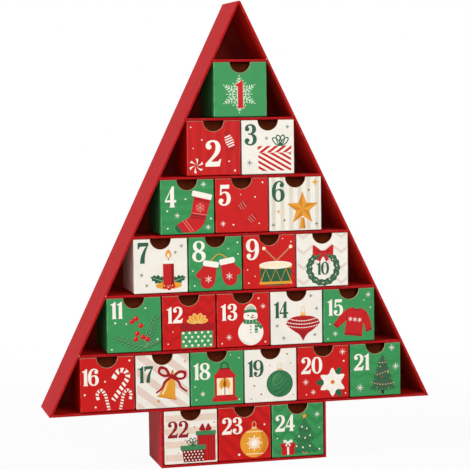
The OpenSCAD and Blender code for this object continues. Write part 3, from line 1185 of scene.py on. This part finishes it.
def sprigFront():
    dots = specks("white", (-17, 2.2, 0.9), (-7, 1, 0.7), (10.5, 14.5, 0.8), (21, -14, 0.8),
                  (-20.5, -21.5, 0.8))
    places = ((11.0, -20.0, 30, 72), (12.0, -21.6, 34, 161), (9.0, -20.6, 16, 20))
    twigs = [layer for shift, ink, thick in ((0.3, "leaf", 1.0), (-0.2, "fern", 0.35))
             for x, y, long, turn in places
             for layer in sprig(x + shift, y - shift, long, turn, ink, thick)]
    fruit = berries("red", "rose", 2.35, (1.9, 5.4), (-1.8, 2.9), (6.0, -1.0), (2.6, -8.0), (1.4, -13.0),
                    (7.8, -11.4), (11.9, -13.4))
    return dots + twigs + fruit


def dottedGiftFront():
    box = [("green", [panel(-7.4, -23.2, 21.6, -7.4)]),
           ("white", dotRows(-7.2, -23.2, 21.4, -7.8, 5, 4, 1.15)),
           ("wine", [panel(-8.4, -7.8, 22.6, -1.2)]), ("darkRed", [panel(-7.4, -8.4, 21.6, -7.8)])]
    fan = lotusBow(0, 0, 0.92, "honey", "gold", (-78, 78, -50, 50, -20, 20))
    knot = [(ink, [[(7.6 + 1.15 * x, y - 0.4) for x, y in loop] for loop in loops]) for ink, loops in fan]
    return specks("white", (-19.5, -19, 0.6), (-15, -8, 0.5)) + box + knot


def snowmanFront():
    x = 6.8
    snow = [("white", [disc(x, -11.8, 11.8, 36)]),
            ("mist", [soft((-3.4, -16.6), (1.4, -21.8), (6.6, -23.0), (1.0, -19.6))]),
            ("white", [oval(x, 2.9, 6.6, 5.8, 0, 32)])]
    buttons = [disc(x, high, 0.65, 10) for high in (-6.4, -9.3, -12.2)]
    face = [("coal", [disc(x - 2.3, 3.6, 0.75, 10), disc(x + 2.1, 3.6, 0.75, 10)] + buttons),
            ("amber", [[(x, 2.8), (12.0, 1.2), (x, 0.9)]])]
    hat = []
    for ink, wide, bend, rise, top in (("cream", 5.4, 4.4, 11.4, 14.2), ("stone", 4.8, 3.6, 11.0, 12.6)):
        hat.append((ink, [soft((x - wide, 7.4), (x - bend, rise), (x, top), (x + bend, rise),
                               (x + wide, 7.4), (x, 8.2))]))
    hat.append(("moss", [stroke(2.6, (x - 5.8, 7.2), (x, 7.9), (x + 5.8, 7.2))]))
    ends = [[(10.6, -3.4), (13.6, -3.2), (13.4, -12.4), (10.6, -12.6)],
            [(12.4, -2.6), (14.6, -3.0), (18.2, -7.2), (16.2, -9.4), (12.8, -5.6)]]
    checks = [panel(10.8, -11.6, 13.3, -10.4), panel(10.8, -8.6, 13.4, -7.4), panel(10.8, -5.8, 13.4, -4.6)]
    checks += [panel(left, -3.6, left + 0.8, -0.6) for left in (2.2, 5.3, 8.4, 11.5)]
    checks += [[(14.6, -5.2), (15.6, -4.2), (16.2, -4.9), (15.2, -6.0)]]
    scarf = [("moss", ends[1:]), ("moss", ends[:1]),
             ("moss", [stroke(3.8, (0.4, -1.6), (x, -2.4), (13.4, -1.6))]),
             ("paleGreen", checks)]
    dots = specks("white", (14.5, 19, 0.8), (-20, -21, 0.7), (20.4, -21, 0.7))
    return dots + scatter("white", (18.6, 11.5, 2.4), (-13.5, -15.5, 2.8)) + snow + face + hat + scarf


def onionFront():
    x = 6.0
    half = ((8.6, 0.3), (14.0, -2.4), (16.0, -5.4), (14.0, -8.4), (9.3, -12.2), (4.7, -15.2), (2.0, -18.2))
    body = soft((x, 1.1), *((x + wide, high) for wide, high in half), (x, -21.6),
                *((x - wide, high) for wide, high in half[::-1]))
    cap = [("straw", [stroke(0.6, (x - 1.3, 4.2), (x - 1.1, 8.8), (x + 1.1, 8.8), (x + 1.3, 4.2))]),
           ("honey", [panel(x - 2.3, 0.4, x + 2.3, 4.4)]), ("gold", [panel(x - 2.3, 0.4, x + 2.3, 2.0)])]
    sash = [("wine", [stroke(width, (x - wide, high), (x, middle), (x + wide, high))])
            for width, wide, high, middle in ((1.5, 14.6, -3.4, -5.2), (1.3, 15.2, -6.2, -8.8))]
    sash.append(("wine", [soft((x - 9.0, -11.4), (x, -12.6), (x + 9.0, -11.4), (x + 4.2, -15.0),
                               (x, -20.4), (x - 4.2, -15.0))]))
    beads = []
    for wide, high, count in ((12.8, -1.4, 8), (15.2, -4.4, 10), (14.4, -7.6, 9)):
        beads += [(x + wide * k / count, high - 2.2 * (1 - (k / count) ** 2), 0.55)
                  for k in range(-count, count + 1)]
    stars = scatter("slate", (13.6, 19.0, 1.9), (19.0, 7.2, 1.8), (17.2, -16.8, 1.8), (-18.5, -7.2, 1.8),
                    (-12.4, -18.6, 1.9))
    return stars + cap + [("ruby", [body])] + sash + specks("white", *beads)


def jumperFront():
    def lean(loops):
        return [[(1.09 * x - 0.5, 1.04 * y - 1.4) for x, y in spin(loop, -8, 6, -5)] for loop in loops]

    body = outline("M -2.6 5.6 C -0.6 6.8 1 7.2 2 7.4 C 3.6 5.8 7.4 5.8 9 7.4 C 10 7.2 11.6 6.8 13.6 5.6 "
                   "C 17 3 19.4 -3 21.4 -10.4 L 16.6 -13 L 13 -4.6 L 13.4 -17.4 L -2.4 -17.4 L -2 -4.6 "
                   "L -8.6 -12 L -13 -9.4 C -9.4 -2 -6 3 -2.6 5.6 Z")
    hems = [panel(-2.4, -17.6, 13.4, -15.6), [(-13.2, -9.8), (-8.8, -12.4), (-7.8, -11.0), (-12.2, -8.2)],
            [(21.6, -10.8), (16.8, -13.4), (16.0, -11.6), (21.0, -9.0)]]
    seams = [stroke(0.6, (-2.2, 4.8), (-2.6, 0), (-2.0, -4.6)),
             stroke(0.6, (13.2, 4.8), (13.6, 0), (13.0, -4.6))]
    collar = stroke(1.5, (2.0, 6.8), (5.5, 5.4), (9.0, 6.8))
    knit = [("red", lean(body)), ("wine", lean(hems + seams)), ("wine", lean([collar]))]
    motifs = [layer for x, y in ((1.2, -4.0), (5.6, -4.6), (10.0, -5.2))
              for layer in flake(x, y, 2.2, "white", 0.09, ((0.45, 0.25),), 30)]
    dots = specks("white", (-20.5, -21.5, 0.7), (14.5, 13, 0.5), (-18.5, -8, 0.6), (20.6, 6, 0.6))
    return dots + scatter("white", (18.5, 18, 2.6), (-13.5, -17, 2.4)) + knit + motifs


def caneFront():
    dots = specks("white", (20.2, 20.2, 0.9), (-2.2, 2.2, 0.8), (-20.6, -8.8, 0.9), (-11.0, -20.4, 0.9))
    large = ((5.0, -14.8), (11.2, -6.0), (17.0, 2.2), (18.4, 7.4), (15.2, 11.4), (10.6, 11.2), (7.6, 8.0),
             (5.4, 4.2))
    left = ((1.2, -23.2), (-0.4, -16.6), (-2.2, -9.6), (-5.6, -5.4), (-8.8, -7.4), (-9.4, -10.4),
            (-8.4, -13.8))
    right = ((11.4, -23.2), (12.8, -16.6), (14.4, -10.0), (17.4, -6.4), (20.6, -8.2), (21.0, -11.6),
             (20.2, -14.8))
    canes = ((large, 4.2), (left, 2.8), (right, 2.7))
    return dots + [layer for line, width in canes for layer in candyCane(line, width, "white", "red")]


def bellFront():
    x, y = 8.0, 3.4
    shell = outline("M -10 -21 C -6.4 -17 -7.4 -5 -3.6 -1.8 C -1.6 0 1.6 0 3.6 -1.8 "
                    "C 7.4 -5 6.4 -17 10 -21 Z")
    glint = outline("M -4.6 -18.6 C -2.8 -13 -3.4 -7 -1.8 -3.4 C -4 -6 -4.2 -13 -6.4 -18.6 Z")
    bell = [("ochre", [oval(0, 4.0, 1.5, 5.0)]), ("gold", shell), ("cream", glint),
            ("ochre", [roundPanel(-10.6, -22.0, 10.6, -20.6, 0.7)])]
    bell = [(ink, [spin(move(loop, x, y - 1.0, 0.86), -13, x, y) for loop in loops]) for ink, loops in bell]
    tails = ((-0.4, -0.6), (-3.6, -3.0), (-5.2, -6.2), (-8.4, -8.6))
    ribbon = ribbonBow(x, y + 0.6, 1.7, "wine", tails, -14)
    return bell + ribbon + twinkle(-4, -18, 2.2, "ochre") + twinkle(20.6, 17, 1.8, "ochre")


def lanternFront():
    ring = [("coal", [disc(7, 10.4, 3.8, 20), disc(7, 10.4, 2.9, 20)])]
    roof = [("red", [[(-4.0, 1.2), (18.0, 1.2), (11.8, 7.8), (2.2, 7.8)]]),
            ("darkRed", [panel(2.2, 7.4, 11.8, 8.8)])]
    case = [("red", [panel(-2.4, -17.6, 16.4, 1.4)]), ("cream", [panel(-0.4, -15.8, 14.4, -0.4)])]
    light = [("gold", [oval(7, -6.2, 5.0, 5.8)]), ("white", [panel(4.4, -15.8, 9.6, -9.0)]),
             ("amber", [soft((7, -2.2), (8.7, -5.8), (7, -8.4), (5.3, -5.8))])]
    frontBars = [("darkRed", [panel(6.6, -15.8, 7.4, -0.4)]),
                 ("red", [roundPanel(-4.6, -21.6, 18.6, -17.4, 1.2)])]
    return specks("white", *whiteSpecks) + ring + roof + case + light + frontBars + sparkle(-13.5, -14, 2.4)


def greenBaubleFront():
    dots = specks("amber", (15.7, 18.6, 0.8), (-15.6, -9.2, 0.9), (-9.2, -17.2, 0.9), (-0.9, 9.0, 0.6))
    dots += specks("slate", (18.8, 10.2, 0.6), (-18.6, -21, 0.6), (21, -19, 0.6))
    x, y, radius = 8.4, -8.2, 12.4
    glow = [("moss", [disc(x, y, radius - 0.7, 44)]),
            ("jade", [soft((1.4, -4.0), (4.2, -0.4), (9.4, 0.4), (12.0, -4.6), (7.0, -9.0), (2.2, -11.2))])]
    streaks = (("leaf", 1.6, (2.4, -16.0), (9.0, -12.8), (16.0, -5.6)),
               ("sage", 0.5, (5.2, -13.4), (9.6, -11.0), (15.0, -4.6)),
               ("leaf", 1.3, (6.4, -19.0), (12.4, -15.8), (18.8, -9.2)),
               ("fern", 0.5, (1.6, -5.6), (3.8, -1.0), (8.0, 1.8)),
               ("leaf", 1.0, (4.0, -7.6), (8.6, -4.6), (13.0, 1.4)))
    swirls = [(ink, [band(spline(line), width, 0.3)]) for ink, width, *line in streaks]
    return dots + bauble(x, y, radius, "leaf", "straw") + glow + swirls


def poinsettiaFront():
    x, y = 8.6, -9.6

    def around(loop, step, start=0):
        return [move(spin(loop, start + step * k), x, y) for k in range(360 // step)]

    outer = around(soft((2.2, 0), (7.0, 3.2), (13.2, 0), (7.0, -3.2)), 60, 30)
    inner = around(soft((1.2, 0), (4.6, 2.2), (8.8, 0), (4.6, -2.2)), 60)
    veins = around(band([(3.0, 0), (10.6, 0)], 0.5, 0.2), 60, 30)
    leaves = around(oval(9.6, 0, 6.2, 2.8, 0, 18), 120, 60)
    flower = [("leaf", leaves), ("white", outer), ("mist", veins), ("white", inner[0::2]),
              ("white", inner[1::2]), ("gold", around(disc(1.5, 0, 0.85, 10), 72))]
    dots = specks("white", (19.5, 9.5, 0.8), (-16.5, -20, 0.6), (21, -20.5, 0.6))
    return dots + scatter("white", (18.5, 18, 3.0), (-17, -8.5, 2.8), (-10, -18, 2.4)) + flower


def treeFront():
    x, top, tree = 7.0, 14.0, []
    needles = 9  # on each side of a tier
    tiers = ((0, 12.5, 5.6), (5.5, 19.0, 8.4), (11.0, 25.0, 10.8), (17.0, 30.0, 12.8), (21.0, 35.4, 14.6))
    for rank, (high, low, half) in enumerate(tiers[::-1]):
        loop = [(x, top - high)]
        for k in range(needles, -needles - 1, -1):
            share, reach = k / needles, 1.0 if k % 2 else 0.78
            loop.append((x + half * share * (0.1 + 0.9 * reach),
                         top - high - (low - high) * reach * (1 - 0.16 * share * share)))
        inner = [(x + 0.9 * (u - x), top - high + 0.9 * (v - top + high)) for u, v in loop]
        tree += [("fir" if rank % 2 else "leaf", [loop]), ("fir", [inner])]
    beads = {"straw": [], "rust": []}
    for half, high, sag, rise in ((4.2, 6.4, 0.6, 0.0), (6.4, -3.2, 0.4, 2.2), (10.6, -12.6, 1.8, -0.6)):
        count = int(half * 0.8)
        for k in range(-count, count + 1):
            share = k / count
            place = (x + half * share, high - sag * (1 - share * share) + rise * share,
                     0.42 if k % 2 else 0.55)
            beads["rust" if k % 2 else "straw"].append(place)
    beads["straw"] += [(4.6, 2.4, 0.6), (12.4, -3.2, 0.7), (9.2, 8.4, 0.4), (1.4, -17.4, 0.4),
                       (12.8, -18.0, 0.4)]
    beads["rust"] += [(6.6, -7.6, 0.9), (2.2, -2.6, 0.5), (14.6, -9.0, 0.5), (6.4, -18.6, 0.5)]
    trim = specks("rust", *beads["rust"]) + specks("straw", *beads["straw"])
    stars = scatter("white", (16, 19.5, 3.0), (19.8, 2.0, 3.4), (-15, -16.5, 3.6))
    return [("coal", [panel(x - 1.2, -23.2, x + 1.2, -19.6)])] + tree + trim + stars


def twoGiftsFront():
    tall = [("red", [panel(5.6, -23.0, 22.6, 1.0)]), ("wine", slats(5.6, -23.0, 22.6, 1.0, 2.6, 0.5, 90)),
            ("darkRed", [panel(5.6, 0.2, 22.6, 1.0)]), ("jade", [panel(4.5, 0.8, 23.0, 4.6)])]
    wing = soft((-0.1, 0), (-5.6, 0.6), (-4.8, 3.6), (-2.6, 6.6), (-0.8, 3.2))
    tall += [("wine", [move(part, 13.4, 4.7) for part in (wing, flip(wing))])]
    low = [("darkRed", [[(-6.9, -23.2), (11.0, -23.2), (12.6, -12.2), (-8.4, -12.2)]]),
           ("white", dotRows(-7.2, -23.0, 11.6, -12.6, 6, 4, 0.7)),
           ("jade", [panel(-9.8, -12.4, 13.6, -8.0)])]
    low += lotusBow(1.7, -8.2, 0.78, "leaf", None, (-52, -18, 18, 52))
    dots = specks("amber", (21.6, 12, 0.6), (3.4, 8.4, 0.8), (-5.2, -3.2, 0.6), (-11.5, -14.5, 0.5))
    return dots + tall + low


def goldBaubleFront():
    x, y = 8.8, -9.7
    shade = [("ochre", [soft((x + 6, y + 11.2), (x + 12.6, y + 3), (x + 10, y - 8), (x + 2, y - 12.6),
                             (x + 8.4, y - 3))])]
    rays = [move(spin(soft((1.0, 0), (0.7 * reach, 0.62), (reach, 0), (0.7 * reach, -0.62)), 22.5 * k), x, y)
            for k, reach in enumerate((7.6, 5.8) * 8)]
    seams = [panel(x - 7.6, high - 0.35, x + 8.2, high + 0.35) for high in (0.8, -19.6)]
    marks = [("cream", seams), ("cream", rays[0::2]), ("white", rays[1::2]),
             ("white", [star(x, y, 3.2, 2.0, 8)])]
    dots = specks("white", (18.6, 7.0, 0.8), (-5.6, -19.6, 1.1))
    return dots + bauble(x, y, 13.2, "gold", "straw") + shade + marks


def treeGiftFront():
    tree = pine(6.4, 12.0, ((0, 12.5, 7.2), (6.2, 21.5, 10.4), (13.4, 32.0, 13.2)), "moss", "pine")
    balls = ((4.0, 2.6), (8.6, 0.6), (1.0, -6.2), (6.8, -8.0), (11.6, -5.8), (-1.4, -15.2), (4.6, -16.6),
             (11.4, -15.6))
    trim = [("gold", [star(6.4, 12.4, 2.8, 1.2, 5)]), ("cream", [disc(x, y, 0.85, 12) for x, y in balls])]
    box = giftBox(-15.5, -22.8, -3.5, -12.0, "red", "red", "wine",
                  [("white", [panel(-10.4, -22.8, -8.6, -12.0)])])
    box += bow(-9.5, -11.0, 0.55, "white", "mist")
    dots = specks("white", (-19.5, -7, 0.7), (20.5, 1, 0.6), (20.5, -19, 0.8))
    return dots + sparkle(18.5, 13.5, 2.6) + [("tan", [panel(4.8, -23.0, 8.0, -19)])] + tree + trim + box


frontPictures = [
    snowflakeFront, mintFront, stripedGiftFront, stockingFront, sweetFront, starFront,
    candleFront, mittenFront, drumFront, wreathFront, sprigFront, dottedGiftFront,
    snowmanFront, onionFront, jumperFront, caneFront, bellFront, lanternFront,
    greenBaubleFront, poinsettiaFront, treeFront, twoGiftsFront, goldBaubleFront, treeGiftFront,
]
inkColours = {
    "white": (246, 240, 228), "cream": (250, 230, 196), "mist": (222, 224, 216), "frost": (206, 226, 198),
    "red": (196, 26, 28), "wine": (158, 18, 24), "darkRed": (124, 20, 28), "ruby": (180, 22, 28),
    "rust": (160, 84, 62), "rose": (232, 140, 128), "green": (66, 150, 88), "jade": (62, 130, 82),
    "moss": (48, 116, 72), "leaf": (34, 92, 60), "pine": (28, 70, 50), "fir": (56, 96, 68),
    "sage": (104, 136, 100), "fern": (118, 172, 116), "paleGreen": (160, 204, 164), "slate": (96, 116, 104),
    "gold": (228, 156, 46), "honey": (244, 194, 112), "ochre": (208, 130, 36), "amber": (176, 100, 34),
    "straw": (226, 194, 140), "tan": (186, 128, 88), "stone": (186, 190, 178), "coal": (44, 38, 38),
    "numberGreen": (44, 90, 66), "numberRed": (140, 22, 32),
}
inks = {key: paperFinish("ink_" + key, paint(*value), "ink") for key, value in inkColours.items()}
# mm; rise is over a front's middle
printSet = {"under": 0.03, "first": 0.02, "step": 0.008, "merge": 0.002, "rise": 0.8}


def numberInk(number):
    usual = "numberGreen" if grounds[number - 1] == "white" else "white"
    return numberSet["inks"].get(number, usual)


def inkLayer(key, shapes, rank):  # a flat curve, filled and a little thicker than the layer under it
    bpy.ops.object.add(type="CURVE", location=(0, 0, 0))
    layer = bpy.context.object
    curve = layer.data
    curve.dimensions = "2D"
    curve.fill_mode = "BOTH"
    thick = (printSet["under"] + printSet["first"] + printSet["step"] * rank) * mm
    curve.extrude = thick / 2
    layer.location.z = thick / 2 - printSet["under"] * mm
    for shape in shapes:
        line = curve.splines.new("POLY")
        line.points.add(len(shape) - 1)
        for point, (x, y) in zip(line.points, shape):
            point.co = (x * mm, y * mm, 0, 1)
        line.use_cyclic_u = True
    curve.materials.append(inks[key])
    return layer


def printFront(number, low, high):
    art = frontPictures[number - 1]() + [(numberInk(number), numberLoops(number))]
    layers = [inkLayer(key, shapes, rank) for rank, (key, shapes) in enumerate(art)]
    onlySelect(*layers)
    bpy.ops.object.convert(target="MESH")
    onlySelect(*layers)
    bpy.ops.object.transform_apply(location=True, rotation=True, scale=True)
    bpy.ops.object.join()
    sheet = bpy.context.object
    sheet.name = sheet.data.name = "print_%02d" % number
    editMode(sheet, "VERT")
    bpy.ops.mesh.select_all(action="SELECT")
    bpy.ops.mesh.remove_doubles(threshold=printSet["merge"] * mm)
    objectMode()
    sheet.rotation_euler = (math.pi / 2, 0, 0)
    sheet.location = ((low.x + high.x) / 2, low.y, (low.z + high.z) / 2 + printSet["rise"] * mm)
    applyPlace(sheet)
    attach(sheet, "drawer_%02d_body" % number)


for number in range(1, len(grounds) + 1):
    node = "drawer_%02d" % number
    low, high = (Vector(corner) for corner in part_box(node))
    middle = (low + high) / 2
    tray = copyOf(trayMaster, "tray_%02d" % number)
    tray.location = (middle.x, middle.y, low.z)
    applyPlace(tray)
    ground = grounds[number - 1]
    front = cardGround[ground]
    if number in frontPatterns:
        front = frontFinish(number, (middle.x, low.y, middle.z))
    setSlots(tray, cardGround[ground], cardInside, cardCut, front, cardFoldWearHighlight[ground])
    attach(tray, node + "_body")
    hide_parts(node)
    printFront(number, low, high)
bpy.data.objects.remove(trayMaster)
print("drawers printed:", len(grounds))
